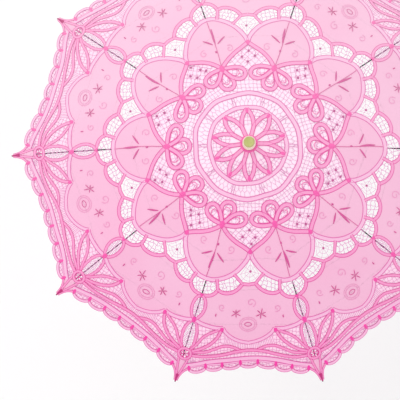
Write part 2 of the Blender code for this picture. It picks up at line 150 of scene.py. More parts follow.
def turned(points, angle):
    """Plan points turned about the origin."""
    c, s = math.cos(angle), math.sin(angle)
    points = np.asarray(points, float)
    return points @ np.array([[c, s], [-s, c]])


def on_rib(points, rib, side=1):
    """Design points (along the rib, across it, in mm) as plan metres."""
    points = np.asarray(points, float) * (1, side) * MM
    return turned(points, rib * STEP)


def on_gore(points, gore, side=1):
    """Design points (along the middle of a gore, across it, in mm) as plan metres."""
    points = np.asarray(points, float) * (1, side) * MM
    return turned(points, gore * STEP + HALF)


def from_gore(points):
    """Points given from mid-gore (across is negative towards the rib) in rib terms."""
    return turned(points, HALF)


def resample(path, step):
    """Points an even step apart along a line."""
    length = np.concatenate([[0], np.cumsum(np.linalg.norm(np.diff(path, axis=0), axis=1))])
    count = max(2, int(round(length[-1] / step)) + 1)
    at = np.linspace(0, length[-1], count)
    return np.stack([np.interp(at, length, path[:, k]) for k in (0, 1)], -1)


def curve(points, step=1.6 * MM, closed=False):
    """A smooth line through the points (Catmull-Rom), evenly sampled."""
    p = np.asarray(points, float)
    ends = (p[-1:], p[:1], p[1:2]) if closed else (2 * p[:1] - p[1:2], 2 * p[-1:] - p[-2:-1])
    p = np.concatenate([ends[0], p, *ends[1:]])
    t = np.linspace(0, 1, 13)[:-1, None]
    parts = [
        0.5 * (2 * b + (c - a) * t + (2 * a - 5 * b + 4 * c - d) * t**2 + (3 * b - a - 3 * c + d) * t**3)
        for a, b, c, d in zip(p, p[1:], p[2:], p[3:])
    ]
    return resample(np.concatenate([*parts, p[-2:-1]]), step)


# ---------------------------------------------------------------- what the sheet is made of

LAYERS = defaultdict(list)  # the elements of each layer, by its name
HOT_SPOTS = []  # (plan point, spread): where the pink deepens, mostly where tapes crowd together


def add(layer, points, faces, across, along, cells=None):
    """Puts an element in a layer; cells says which fold cell the faces belong to."""
    if cells is None:
        cells = cells_of(points, faces, np.zeros(len(faces), int))
    LAYERS[layer].append((points, faces, across, along, np.broadcast_to(cells, len(faces))))


def tube_faces(rings, sides, closed=False):
    """Triangles of a tube of rings, and which segment each is in; open tubes get flat ends."""
    ring = np.arange(rings if closed else rings - 1)[:, None]
    side = np.arange(sides)[None, :]
    a = ring * sides + side
    b = ring * sides + (side + 1) % sides
    c = (ring + 1) % rings * sides + (side + 1) % sides
    d = (ring + 1) % rings * sides + side
    faces = np.concatenate([np.stack([a, b, c], -1), np.stack([a, c, d], -1)]).reshape(-1, 3)
    segments = np.tile(np.repeat(ring[:, 0], sides), 2)
    if closed:
        return faces, segments
    fan = np.array([(sides - 1, k + 1, k) for k in range(sides - 2)])
    last = (rings - 1) * sides
    faces = np.concatenate([faces, fan, last + fan[:, ::-1]])
    ends = np.repeat([0, rings - 2], len(fan))
    return faces, np.concatenate([segments, ends])


# A woven tape from edge to edge: flat under, with a raised cord along each side
TAPE_ACROSS = np.array([-1, -0.86, -0.66, 0, 0.66, 0.86, 1, 0.8, -0.8])
TAPE_HEIGHT = np.array([0.1, 0.62, 0.34, 0.46, 0.34, 0.62, 0.1, -0.3, -0.3]) * MM
SATIN_ACROSS = np.array([-1, -0.6, 0, 0.6, 1, 0])
SATIN_HEIGHT = np.array([0, 0.75, 1.0, 0.75, 0, -0.3]) * MM


def add_tube(layer, points, across, along, closed=False):
    """Adds rings of points as a tube that is only ever cut between two rings."""
    rings, sides = points.shape[:2]
    faces, segments = tube_faces(rings, sides, closed)
    points = points.reshape(-1, 3)
    add(layer, points, faces, across, along, cells_of(points, faces, segments))


def ahead(path):
    """The direction of a line at each of its points."""
    tangent = np.gradient(path, axis=0)
    return tangent / (np.linalg.norm(tangent, axis=1, keepdims=True) + 1e-12)


def lengths_along(path, sides):
    """How far along a line each ring of points is, once for each of its sides."""
    gaps = np.linalg.norm(np.diff(path, axis=0), axis=1)
    return np.repeat(np.concatenate([[0], np.cumsum(gaps)]), sides)


def strip(layer, path, width, base=0.0, closed=False, profile=(TAPE_ACROSS, TAPE_HEIGHT)):
    """A strip of cloth or stitches along a plan line; width is a number or one per point."""
    if closed:
        path = path[:-1]
        tangent = ahead(np.concatenate([path[-1:], path, path[:1]]))[1:-1]
    else:
        tangent = ahead(path)
    normal = np.stack([-tangent[:, 1], tangent[:, 0]], -1)
    across, height = profile
    half = np.broadcast_to(np.asarray(width, float) / 2, len(path))
    offset = across[None, :, None] * half[:, None, None]
    plan = path[:, None, :] + normal[:, None, :] * offset
    thin = np.clip(half / half.max(), 0.2, 1)[:, None]
    points = lifted(plan, base * MM + height[None, :] * thin)
    rings, sides = points.shape[:2]
    add_tube(layer, points, np.tile((across + 1) / 2, rings), lengths_along(path, sides), closed)


def tape(points, width, base=0.0, layer="tape", closed=False, step=1.6 * MM):
    """A tape through plan points; width, and base over the cloth, are in mm."""
    strip(layer, wander(curve(points, step, closed)), width * MM, base, closed)


def rib_tapes(rib, side, rows):
    """Tapes in rib terms, each given as its line, width, base and layer."""
    for line, *settings in rows:
        tape(on_rib(line, rib, side), *settings)


def satin(points, width, base=0.5):
    """A pointed embroidered leaf or ray along a line."""
    path = wander(curve(points, 1.0 * MM))
    taper = np.sin(np.linspace(0.06, 0.94, len(path)) * math.pi) ** 0.7
    strip("stitch", path, width * MM * taper, base=base, profile=(SATIN_ACROSS, SATIN_HEIGHT))


def thread(path, radius, base=0.0, layer="thread"):
    """A three-sided thread along a plan line; radius, and base over the cloth, are in mm."""
    tangent = ahead(path)
    normal = np.stack([-tangent[:, 1], tangent[:, 0]], -1)
    angle = math.tau * (np.arange(3) + 0.25) / 3
    plan = path[:, None, :] + normal[:, None, :] * (np.cos(angle) * radius * MM)[None, :, None]
    points = lifted(plan, base * MM + np.sin(angle) * radius * MM)
    add_tube(layer, points, np.full(len(path) * 3, 0.5), lengths_along(path, 3))


def straight(points, radius, step=3 * MM, **settings):
    """A thread that runs straight from each plan point to the next."""
    thread(wander(resample(np.array(points), step)), radius, **settings)


def bent(points, radius, step, closed=False, **settings):
    """A thread that bends smoothly through plan points."""
    thread(wander(curve(points, step, closed)), radius, **settings)


def blob(centre, long, wide, angle=0.0, height=1.3, layer="knot", base=0.2):
    """A low round knot of stitches, long by wide, in mm, centred on a plan point."""
    rings, sides = 4, 12
    around = math.tau * np.arange(sides) / sides
    points = []
    for k in range(rings):
        rise = math.pi / 2 * (k + 0.3) / rings
        size = math.cos(rise)
        flat = np.stack([np.cos(around) * long, np.sin(around) * wide], -1) / 2 * size * MM
        plan = wander(centre)[None, :] + turned(flat, angle)
        points.append(lifted(plan, (base + height * math.sin(rise)) * MM))
    across = np.repeat(np.linspace(0, 0.5, rings), sides)
    along = np.tile(around * wide * MM / 2, rings)
    faces, _ = tube_faces(rings, sides)
    add(layer, np.concatenate(points), faces, across, along)


def inside_runs(outline, level):
    """Where a horizontal line at this height runs inside an outline."""
    x, y = outline[:, 0], outline[:, 1]
    x2, y2 = np.roll(x, -1), np.roll(y, -1)
    crosses = (y <= level) != (y2 <= level)
    at = x[crosses] + (level - y[crosses]) / (y2 - y)[crosses] * (x2 - x)[crosses]
    at.sort()
    return list(zip(at[::2], at[1::2]))


def net(outline, spacing, angle, radius=0.28, sway=1.2):
    """Crossed threads that fill an outline in plan, a little uneven as if made by hand."""
    for turn in (angle, angle + math.pi / 2):
        flat = turned(outline, -turn)
        low, high = flat[:, 1].min(), flat[:, 1].max()
        level = low + spacing * MM * 0.5
        while level < high:
            for start, end in inside_runs(flat, level):
                if end - start > NET_SHORTEST:
                    count = max(2, int((end - start) / NET_STEP) + 1)
                    xs = np.linspace(start, end, count)
                    ys = level + random.normal(0, sway * 0.5 * MM, count)
                    line = turned(np.stack([xs, ys], -1), turn)
                    thread(wander(line), radius, NET_BASE)
            level += spacing * MM * random.uniform(0.85, 1.15)


def open_edges(faces, count):
    """The edges that only one face uses, as their start and end points."""
    starts, ends = faces.ravel().astype(np.int64), np.roll(faces, -1, 1).ravel().astype(np.int64)
    is_open = ~np.isin(starts * count + ends, ends * count + starts)
    return starts[is_open], ends[is_open]


def clipped(outline, keep):
    """The part of an outline on the kept side of a line: keep is (a, b, c), a*x + b*y >= c."""
    a, b, c = keep
    value = outline[:, 0] * a + outline[:, 1] * b - c
    out = []
    count = len(outline)
    for k in range(count):
        n = (k + 1) % count
        if value[k] >= 0:
            out.append(outline[k])
        if (value[k] >= 0) != (value[n] >= 0):
            share = value[k] / (value[k] - value[n])
            out.append(outline[k] + share * (outline[n] - outline[k]))
    return np.array(out)


def cells():
    """Every fold cell of the canopy as (rib, side, band) and the lines that bound it."""
    for half_sector in range(2 * RIBS):
        rib, side = (half_sector + 1) // 2 % RIBS, 1 - 2 * (half_sector % 2)
        low, high = half_sector * HALF, (half_sector + 1) * HALF
        c, s = math.cos(rib * STEP + side * HALF), math.sin(rib * STEP + side * HALF)
        sides = (-math.sin(low), math.cos(low), 0.0), (math.sin(high), -math.cos(high), 0.0)
        for band in range(LAST_BAND + 1):
            inner, outer = BANDS[band : band + 2] * math.cos(HALF)
            yield (rib, side, band), (*sides, (c, s, inner), (-c, -s, -outer))


CELLS = list(cells())


def cells_of(points, faces, segments):
    """The fold cell of each face of an element, as one number; segments stay whole."""
    count = segments.max() + 1
    share = np.bincount(segments, minlength=count)
    faces_at = points[faces].mean(1)[:, :2]
    centre = np.stack([np.bincount(segments, faces_at[:, k], count) / share for k in (0, 1)], -1)
    angle = np.arctan2(centre[:, 1], centre[:, 0])
    half_sector = np.floor(angle / HALF).astype(int) % (2 * RIBS)
    main = np.bincount(half_sector, minlength=2 * RIBS).argmax()
    reach = np.hypot(centre[:, 0], centre[:, 1])
    for step in (-1, 1):
        border = (main + (step > 0)) * HALF
        beyond = half_sector == (main + step) % (2 * RIBS)
        if beyond.any() and (reach * np.abs(np.sin(angle - border)))[beyond].max() < NARROW:
            half_sector[beyond] = main
    band = np.clip(np.digitize(reach_of(centre), BANDS) - 1, 0, LAST_BAND)
    return (half_sector * (LAST_BAND + 1) + band)[segments]


def cell_edge(outline, lines, spacing):
    """The outline of the part of a cloth that lies in a cell, as evenly spaced points."""
    for a, b, c in lines:
        outline = clipped(outline, (a, b, c - OVERLAP))
        if len(outline) < 3:
            return outline
    following = np.roll(outline, -1, 0)
    edge = np.concatenate([resample(np.array(side), spacing)[:-1] for side in zip(outline, following)])
    return edge[np.linalg.norm(edge - np.roll(edge, 1, 0), axis=1) > SAME_POINT]


def filled_in(edge, angle, spacing):
    """Even triangles that fill an outline, in rows that run along a rib at this angle."""
    flat = turned(edge, -angle)
    low, high = flat[:, 1].min(), flat[:, 1].max()
    inner = []
    for level in np.arange(math.ceil(low / spacing) * spacing, high, spacing):
        for start, end in inside_runs(flat, level):
            xs = np.arange(math.ceil(start / spacing) * spacing, end, spacing)
            xs = xs[(xs - start > spacing * 0.4) & (end - xs > spacing * 0.4)]
            inner += [(x, level) for x in xs]
    points = [Vector(p) for p in (*flat, *inner)]
    count = len(flat)
    ring = [(k, (k + 1) % count) for k in range(count)]
    made = geometry.delaunay_2d_cdt(points, ring, [list(range(count))], 1, 1e-7)
    plan = turned(np.array([tuple(v) for v in made[0]]), angle)
    faces = np.array([f for f in made[2] if len(f) == 3], int).reshape(-1, 3)
    (ax, ay), (bx, by), (cx, cy) = (plan[faces[:, k]].T for k in range(3))
    area = (bx - ax) * (cy - ay) - (by - ay) * (cx - ax)
    faces[area < 0] = faces[area < 0][:, ::-1]
    return plan, faces[np.abs(area) > SLIVER]


def cloth(outline, layer="cotton", height=0.1 * MM, thickness=0.35 * MM, spacing=3.4 * MM):
    """A plain woven insert: its outline in plan, meshed cell by cell and given a thickness."""
    outline = np.asarray(outline, float)
    centre = outline.mean(0)
    size = np.linalg.norm(outline - centre, axis=1).max()
    for number, ((rib, _, _), lines) in enumerate(CELLS):
        if any(centre[0] * a + centre[1] * b - c < -size for a, b, c in lines):
            continue
        edge = cell_edge(outline, lines, spacing)
        if len(edge) < 3:
            continue
        plan, faces = filled_in(edge, rib * STEP, spacing)
        if not len(faces):
            continue
        moved = wander(plan)
        points = np.concatenate([lifted(moved, height), lifted(moved, height - thickness)])
        count = len(plan)
        start, end = open_edges(faces, count)
        rim = [np.stack([end, start, start + count], -1), np.stack([end, start + count, end + count], -1)]
        faces = np.concatenate([faces, faces[:, ::-1] + count, *rim])
        add(layer, points, faces, *(np.tile(plan[:, axis], 2) for axis in (0, 1)), number)


def hot(points, spread):
    """Remembers where the pink deepens."""
    for point in np.atleast_2d(points):
        HOT_SPOTS.append((*point, spread * MM))


def teardrop(base, angle, length, width, count=26):
    """A looped tape from a base point and back, pointed there and round at its far end."""
    t = np.linspace(0.0, math.tau, count)
    along = length * (1 - np.cos(t)) / 2
    across = width * 0.65 * np.sin(t) * np.sin(t / 2) ** 1.2
    return np.asarray(base, float) + turned(np.stack([along, across], -1), angle)


# ---------------------------------------------------------------- the pattern, centre outward


def ring_points(radius, wobble, phase=0.0):
    """A slightly lobed ring around the lace's own centre."""
    a = np.linspace(0, math.tau, 40, endpoint=False)
    r = radius + wobble * np.cos(RIBS * a + phase)
    return (np.stack([r * np.cos(a), r * np.sin(a)], -1) + RING_CENTRE) * MM


def polar(radius, degrees):
    """The plan point at this radius in mm and this angle."""
    a = math.radians(degrees)
    return np.array([radius * math.cos(a), radius * math.sin(a)]) * MM


# From the finial to a petal's tip: radius, and share of the swing from spoke to tip
PETAL_SIDE = ((11, 0), (22, 0.0), (30, 0.06), (38, 0.3), (45, 0.52), (51, 0.76), (57, 1))


def flower():
    """Ten pointed petals of tape whose sides run together near the finial."""
    for k, tip in enumerate(TIP_ANGLES):
        following = TIP_ANGLES[(k + 1) % RIBS] + (360 if k == RIBS - 1 else 0)
        previous = TIP_ANGLES[k - 1] - (360 if k == 0 else 0)
        sides = []
        for other in (previous, following):
            spoke = (tip + other) / 2
            sides.append([polar(r, spoke + (tip - spoke) * share) for r, share in PETAL_SIDE])
            tape(sides[-1], 7.0, 0.25)
        hot(polar(FLOWER_TIP - 4, tip), 5)
        blob(polar(FLOWER_TIP - 3, tip), 9.5, 6, math.radians(tip), 1.0)
        net(np.array(sides[0][2:] + sides[1][2:-1][::-1]), 5.6, math.radians(tip))
        middle = (tip + following) / 2
        between = [polar(34, middle), polar(45, middle - 10), polar(FLOWER_TIP, tip + 2)]
        between += [polar(FLOWER_TIP + 2, middle), polar(FLOWER_TIP, following - 2)]
        between += [polar(45, middle + 10)]
        net(np.array(between), 5.6, math.radians(middle))
    # deeper pink over the middle of the flower, and a second spread 26 mm towards +X of the finial
    hot([(0, 0), (0.026, 0.004)], 32)


def rings():
    """The two ring tapes and the tall honeycomb of threads between them."""
    tape(ring_points(INNER_RING, 0.5), 7.4, 0, "pale_tape", closed=True)
    tape(ring_points(OUTER_RING, 0.9, math.pi), 8.2, 0, "pale_tape", closed=True)
    meshes = 66
    width = 360 / meshes
    middle = np.array(RING_CENTRE) * MM

    def run(*places):
        straight([polar(r, a) + middle for r, a in places], 0.28, 2.5 * MM, base=-0.3)

    for k in range(meshes):
        a = width * (k + random.uniform(-0.12, 0.12))
        low, high = random.uniform(69, 71), random.uniform(74, 76.5)
        run((OUTER_RING - 3, a + random.uniform(-0.5, 0.5)), (high, a), (low, a + width / 2))
        run((high, a), (low, a - width / 2))
        run((low, a + width / 2), (INNER_RING + 2.6, a + width / 2))
    for rib in range(RIBS):
        for shift in (-1.4, 1.4):
            ends = (INNER_RING + 2, OUTER_RING - 2)
            straight([polar(r, rib * 36 + shift) + middle for r in ends], 0.5)
        hot(polar(OUTER_RING, rib * 36) + middle, 4)
    for angle in (34, 108, 248, 324):
        hot(polar(OUTER_RING, angle) + middle, 5)


def voile(outline, layer):
    """Sheer cloth laid close behind the lace."""
    cloth(outline, layer, height=-0.5 * MM, thickness=0.2 * MM, spacing=5 * MM)


def voile_lining():
    """White voile behind the middle, pink voile behind the border."""
    for gore in range(RIBS):
        first = on_rib([(FLOWER_START, 0), *ARCH], gore)
        second = on_rib([(FLOWER_START, 0), *ARCH[:-1]], gore + 1, -1)
        voile(np.concatenate([first, second[::-1]]), "white_voile")
        sides = []
        for side, rib in ((1, gore), (-1, gore + 1)):
            line = [(368, 0), *LEAF_MIDDLE[::-1], *BRACKET[1:]]
            inner = np.concatenate([on_rib(line, rib, side), on_gore(BRACKET_ARC[1:], gore, side)])
            sides.append((inner, on_rib([*HEM_TAPE, (368, 0)][::-1], rib, side)))
        (inner_a, hem_a), (inner_b, hem_b) = sides
        voile(np.concatenate([inner_a[1:], inner_b[:0:-1], hem_b, hem_a[::-1]]), "pink_voile")


def inner_net():
    """The square net between the outer ring and the clovers."""
    for gore in range(RIBS):
        outline = [(85, -27), (128, -41), (133, -28), (121, -12), (112, 0)]
        outline += [(121, 12), (133, 28), (128, 41), (85, 27)]
        net(on_gore(outline, gore), 6.2, gore * STEP + HALF)


def clover(rib):
    """Three looped tapes that meet in a dense knot on the rib."""
    base = (CLOVER, 0)
    loops = [on_rib(teardrop(base, math.pi, 37, 22.5), rib)]
    loops += [on_rib(teardrop(base, math.radians(124), 38, 20.5), rib, side) for side in (-1, 1)]
    for k, loop in enumerate(loops):
        tape(loop, 7.2, 0.1 + 0.1 * k, step=1.3 * MM)
        centre = loop.mean(0)
        bent(centre + (loop - centre) * 0.52, 0.5, 2 * MM, layer="knot")
        for share in (0.3, 0.45, 0.6):
            a, b = loop[int(len(loop) * share)], loop[int(len(loop) * (1 - share) - 1)]
            straight([a, b], 0.34)
    hot(on_rib([base], rib), 14)
    blob(on_rib(base, rib), 13, 9, rib * STEP, 1.5)


ARCH = [(CLOVER, 0), (140, 7.5), (147, 17), (152.5, 28), (156.5, 40), (161, 52.3)]
PETAL_EDGE = [(161, 52.3), (171, 52), (182, 48.5), (194, 42.5), (204, 34), (212, 24),
              (218.5, 12), (220.5, 0)]
LEAN = (4, -9, 6, -5, 3, 0, 12, -3, 7, -8)  # how far each rib's sprig is turned, in degrees


def petal(rib):
    """A cotton petal on a rib, its tape edge and the seam along the rib."""
    outline = []
    for side in (1, -1):
        path = curve(on_rib([*ARCH[:-1], *PETAL_EDGE], rib, side), 3 * MM)
        outline.append(path if side == 1 else path[::-1])
        rib_tapes(rib, side, ((ARCH, 7.2, 0.15), (PETAL_EDGE, 7.8, 0.1, "pale_tape")))
        hot(on_rib([PETAL_EDGE[0]], rib, side), 7)
        hot(on_rib([ARCH[1], ARCH[2], ARCH[3]], rib, side), 6)
    blob(on_gore((169.5, 0), rib), 9, 7, rib * STEP + HALF, 1.0)
    cloth(np.concatenate([outline[0][:-1], outline[1][:-1]]))
    straight(on_rib([(CLOVER + 5, 0), (216, 0)], rib), 0.5, base=0.5, layer="stitch")
    hot(on_rib([(219, 0)], rib), 4)
    sprig(rib)


def sprig(rib):
    """Three satin leaves, a dot and two pale curls, embroidered on a petal."""
    lean = math.radians(LEAN[rib])
    pivot = np.array([172.0, 0.0])

    def worked(points):
        return on_rib(pivot + turned(np.asarray(points, float) - pivot, lean), rib)

    satin(worked([(176, 0), (188, 0.4), (203, 0)]), 3.4, 0.6)
    for side in (1, -1):
        satin(worked([(176, 4 * side), (181, 11 * side), (186, 19 * side)]), 2.7)
        curl(worked((164, 22 * side)), 6.5, rib * STEP - side * 0.4, side)
    blob(worked((163, 1.5)), 4.2, 3.0, rib * STEP, 0.8, "stitch", 0.5)


def curl(centre, size, angle, side=1):
    """A spiral of pale cord couched onto the cotton."""
    t = np.linspace(0, 1, 26)
    turn = side * t * 4.6 * math.pi / 2
    radius = size * MM * (1 - 0.75 * t)
    path = centre + turned(np.stack([radius * np.cos(turn), radius * np.sin(turn)], -1), angle)
    thread(wander(path), 0.5, base=0.35, layer="cord")


def spider(spot, rim):
    """A woven dot held by threads that run out to the rim."""
    blob(spot, 4.2, 4.2 * 0.9, random.uniform(0, 3), 1.2, "dot", 0.0)
    for point in rim:
        straight([spot, point], 0.3)


def arch_window(gore):
    """The net between clovers and petals, with a diamond of woven dots."""
    outline = [(124, -14), (134, -27), (141, -36), (152, -27), (163, -12), (168, 0)]
    outline += [(m, -n) for m, n in outline[-2::-1]]
    outline.append((118, 0))
    net(on_gore(outline, gore), 7.1, gore * STEP + HALF + math.pi / 4, sway=0.8)
    dots = [(136, 0), (146, 10), (146, -10), (156, 0)]
    if gore % 3 == 0:
        dots += [(138, -17)]
    for dot in dots:
        spot = on_gore(dot, gore) + random.normal(0, 1.0, 2) * MM
        start = random.uniform(0, 60)
        spider(spot, [spot + polar(6.5, 60 * k + start) for k in range(6)])


WINDOW_TOP = (250.5, 1)
LOOP_CORNER = (210.5, 57.7)
LOOP = [LOOP_CORNER, (219, 54), (227, 47.5), (232, 39), (233.5, 31), (232, 23.5)]
WINDOW = [LOOP[-1], (239, 20.5), (246, 13.5), WINDOW_TOP]
EYE = [WINDOW_TOP, (256, 7), (266, 10.5), (277, 10), (286, 6), (CROSSING, 1)]


def window_ring(rib, side):
    """The scalloped windows outside a petal, on one side of its rib."""
    middle = tuple(from_gore([(219.5, 0)])[0])
    rib_tapes(rib, side, (
        ([LOOP_CORNER, (209.5, 62.5), middle], 6.0),
        (LOOP, 6.4, 0.1),
        (WINDOW, 6.2),
        ([(199.5, 40), (205, 49.5), LOOP_CORNER], 5.2, 0.3),
        ([(215.5, 17.5), (224, 21), WINDOW[0]], 5.6, 0.3),
    ))
    hot(on_rib([(203, 46), (206, 51), (220, 20), (228, 22)], rib, side), 4)
    net(on_rib([*LOOP, (217, 18), (200, 40)], rib, side), 6.4, rib * STEP + 0.5 * side, 0.5, 2.2)
    net(on_rib([(221, 0), (219, 19), *WINDOW], rib, side), 6.4, rib * STEP + 0.3, 0.5, 2.2)


def centre_window(gore):
    """The shield-shaped window at mid-gore: a spider of threads around one dot."""
    rim = [(176, 0), (190, -9), (204, -19), (213, -12), (219, 0), (213, 12), (204, 19), (190, 9)]
    spot = on_gore((199.5, 0.5), gore) + random.normal(0, 0.8, 2) * MM
    points = [on_gore(p, gore) for p in rim]
    spider(spot, points)
    for share in (0.45, 0.75):
        hoop = [spot + (p - spot) * share * random.uniform(0.9, 1.1) for p in points]
        bent(hoop, 0.3, 3 * MM, closed=True)


def eye(rib):
    """The lens of two tapes on the rib, from the windows to the crossing."""
    for side in (-1, 1):
        tape(on_rib(EYE, rib, side), 5.4, 0.2)
    outline = np.array(EYE)
    outline = np.concatenate([outline, (outline * (1, -1))[::-1]])
    net(on_rib(outline, rib), 2.6, rib * STEP + 0.2, 0.42, 0.8)
    for reach, spread, long, wide, height in ((CROSSING, 10, 10, 8, 1.3), (250, 6, 5, 6, 1.0)):
        centre = on_rib((reach, 0), rib)
        hot(centre, spread)
        blob(centre, long, wide, rib * STEP, height)


BRACKET = [(CROSSING, 1), (295, 14), (295, 30), (293, 42), (290, 50)]
BRACKET_ARC = [(291.3, -42), (299.4, -36.3), (307.4, -26.3), (313.3, -13.5), (316.4, 0)]


def outer_band(gore):
    """The wide cotton band of a gore, with stars, an oval and curls worked on it."""
    inner = [*WINDOW[::-1], *LOOP[::-1][1:], (209.5, 62.5)]
    halves = []
    for side, rib in ((1, gore), (-1, gore + 1)):
        arc = on_gore(BRACKET_ARC[1:], gore, side)
        outer = np.concatenate([on_rib([*EYE, *BRACKET[1:]], rib, side), arc])
        inside = resample(on_rib(inner, rib, side), 3 * MM)
        halves.append(np.concatenate([inside[::-1], curve(outer, 3 * MM)]))
    cloth(np.concatenate([halves[0], halves[1][::-1]]))
    turn = gore * STEP + HALF
    for side in (-1, 1):
        star(on_gore((267, 20 * side), gore), turn + random.uniform(-0.4, 0.4))
        curl(on_gore((257, 44 * side), gore), 6.0, turn - 0.4 * side, side)
        satin(on_gore([(268, 54 * side), (273, 55 * side)], gore), 2.0)
    curl(on_gore((249, 3), gore), 7.5, turn + 0.5)
    oval(on_gore((285, 0), gore), turn + random.uniform(-0.2, 0.2))


def star(centre, angle):
    """Six satin rays of uneven length."""
    centre = centre + random.normal(0, 0.8, 2) * MM
    for k in range(6):
        length = random.uniform(6.5, 10.0) * MM
        a = angle + k * math.tau / 6 + random.normal(0, 0.12)
        ray = np.array([math.cos(a), math.sin(a)])
        satin([centre + ray * 0.5 * MM, centre + ray * length * 0.6, centre + ray * length], 1.4)


def oval(centre, angle):
    """A small ringed eyelet inside a wider pale ring of couched cord."""
    t = np.linspace(0, math.tau, 25)
    rings_worked = ((3.2, 5.6, "stitch", 0.55), (9, 11, "cord", 0.5), (12, 14, "cord", 0.4))
    for long, wide, layer, radius in rings_worked:
        flat = np.stack([long * np.cos(t), wide * np.sin(t)], -1) * MM
        thread(wander(centre + turned(flat, angle)), radius, base=0.4, layer=layer)


def bracket(rib, side):
    """The tape between the cotton band and the border, from the crossing to mid-gore."""
    arc = from_gore(BRACKET_ARC)
    rib_tapes(rib, side, ((BRACKET, 7.2, 0.15, "pale_tape"), (arc, 6.2, 0.15, "pale_tape")))
    hot(on_rib([BRACKET[-1]], rib, side), 7)
    blob(on_rib((293, 49.5), rib, side), 8, 6.5, rib * STEP, 1.1)


LEAF_MIDDLE = [(CROSSING, 1), (300, 7), (310, 10.5), (322, 11), (333, 9.5), (342, 5.5)]
LEAF_TOP = [(343, 9), (334, 24), (324, 35), (312, 43.5), (301, 47.5), (291, 49)]
LEAF_BOTTOM = [(341, 7), (328, 15.5), (316, 22), (306, 31), (299, 40), (291, 49)]
LONG_INNER = [(344, 11), (337, 32), (327, 46), (318.5, 58), (315, 70), (315.5, 82), (316.5, 90),
              (312.4, 101.5)]
LONG_OUTER = [(349, 12), (345.5, 30), (338.5, 48), (330, 65), (322.5, 78), (317.5, 89),
              (312.4, 101.5)]
HEM_TAPE = [(368, 9), (361, 24), (352.5, 40), (344, 57), (336.5, 75), (330, 92), (325.2, 105.7)]
HEM_KNOTS = [(370.5, 15), (358.5, 41), (347, 67), (335.5, 94.5)]


def rosette(rib):
    """The ring on the rib that gathers the border's leaves."""
    a = np.linspace(0, math.tau, 16, endpoint=False)
    ring = np.stack([ROSETTE + 8.5 * np.cos(a), 10 * np.sin(a)], -1)
    tape(on_rib(ring, rib), 5.0, 0.5, closed=True, step=1.3 * MM)
    for k in range(6):
        petal_loop = teardrop((ROSETTE, 0), k * math.tau / 6 + 0.3, 7.5, 4.5, 14)
        bent(on_rib(petal_loop, rib), 0.55, 1.5 * MM, layer="knot")
    net(on_rib(ring, rib), 3.0, rib * STEP, 0.36, 0.5)
    hot(on_rib([(ROSETTE, 0)], rib), 9)


def border_leaves(rib, side):
    """The leaf along the rib, the side leaf, and the two long leaves along the hem."""
    rib_tapes(rib, side, (
        (LEAF_MIDDLE, 5.2),
        (LEAF_TOP, 5.4, 0.2),
        (LEAF_BOTTOM, 4.8, 0.1),
        (LONG_INNER, 5.0, 0.1),
        (LONG_OUTER, 5.4, 0.25),
        (HEM_TAPE, 8.4, 0.1, "pale_tape"),
    ))
    hot(on_rib([(316.5, 88), (313.5, 97), (342, 13), (335, 24), (327, 33)], rib, side), 5)


def rungs(first, second, rib, side, count):
    """Threads across the strip between two tapes."""
    lines = [resample(curve(on_rib(line, rib, side)), 1 * MM) for line in (first, second)]
    for k in range(count):
        share = (k + 0.5) / count
        straight([line[int(share * (len(line) - 1))] for line in lines], 0.36, base=-0.2)


def border_nets(rib, side):
    """Ladders and nets that fill the border between its tapes."""
    arc = [tuple(p) for p in from_gore(BRACKET_ARC)]
    turn = rib * STEP + 0.35 * side
    rungs(arc[1:], LONG_INNER[3:], rib, side, 15)
    for outline, spacing, *settings in (
        ([*LONG_OUTER, *HEM_TAPE[::-1]], 6.0),
        ([*LONG_INNER[:-1], *LONG_OUTER[-2::-1]], 5.6),
        ([*LEAF_TOP, *LEAF_BOTTOM[::-1]], 5.6),
        ([*BRACKET, *LEAF_BOTTOM[::-1], *LEAF_MIDDLE[::-1]], 6.4, 0.28, 1.4),
        ([*LEAF_TOP, arc[1], *LONG_INNER[3::-1]], 5.6),
        ([*LEAF_MIDDLE, (342, 0), (CROSSING, 0)], 2.6, 0.42, 0.8),
        ([(349, 12), (361, 24), (368, 9), (368, 0), (357, 0), (356, 8)], 4.4, 0.28, 0.5),
    ):
        net(on_rib(outline, rib, side), spacing, turn, *settings)


# One scallop of the hem: share of the way from knot to knot, and height over the knots
SCALLOP = ((0, 2.6), (0.08, 5.0), (0.24, 7.4), (0.5, 8.4), (0.76, 7.4), (0.92, 5.0), (1, 2.6))


def hem(rib, side):
    """The scalloped edge: a loop of tape from knot to knot, and one across mid-gore."""
    last = np.array(HEM_KNOTS[-1])
    mirror = turned(turned([last], -HALF) * (1, -1), HALF)[0]
    knots = [np.array(k, float) for k in HEM_KNOTS] + [mirror]
    for first, second in zip(knots, knots[1:]):
        if second is mirror and side == -1:
            continue
        step = second - first
        out = np.array([-step[1], step[0]]) / -np.linalg.norm(step)
        tall = random.uniform(0.92, 1.06)
        scallop = [first + step * share + out * height * tall for share, height in SCALLOP]
        tape(on_rib(scallop, rib, side), 5.0, 0.1, "pale_tape")
        foot = [first + step * share - out * 1.5 for share in (0, 0.5, 1)]
        inside = on_rib([*scallop, *foot[::-1]], rib, side)
        voile(inside, "pink_voile")
        net(inside, 5.0, rib * STEP, sway=0.8)
        tape(on_rib(foot, rib, side), 3.0, 0.2, "pale_tape")
    for knot in HEM_KNOTS:
        place = on_rib([knot], rib, side)
        hot(place, 5)
        blob(place[0], 10, 5.5, rib * STEP + 0.35 * side, 1.3)


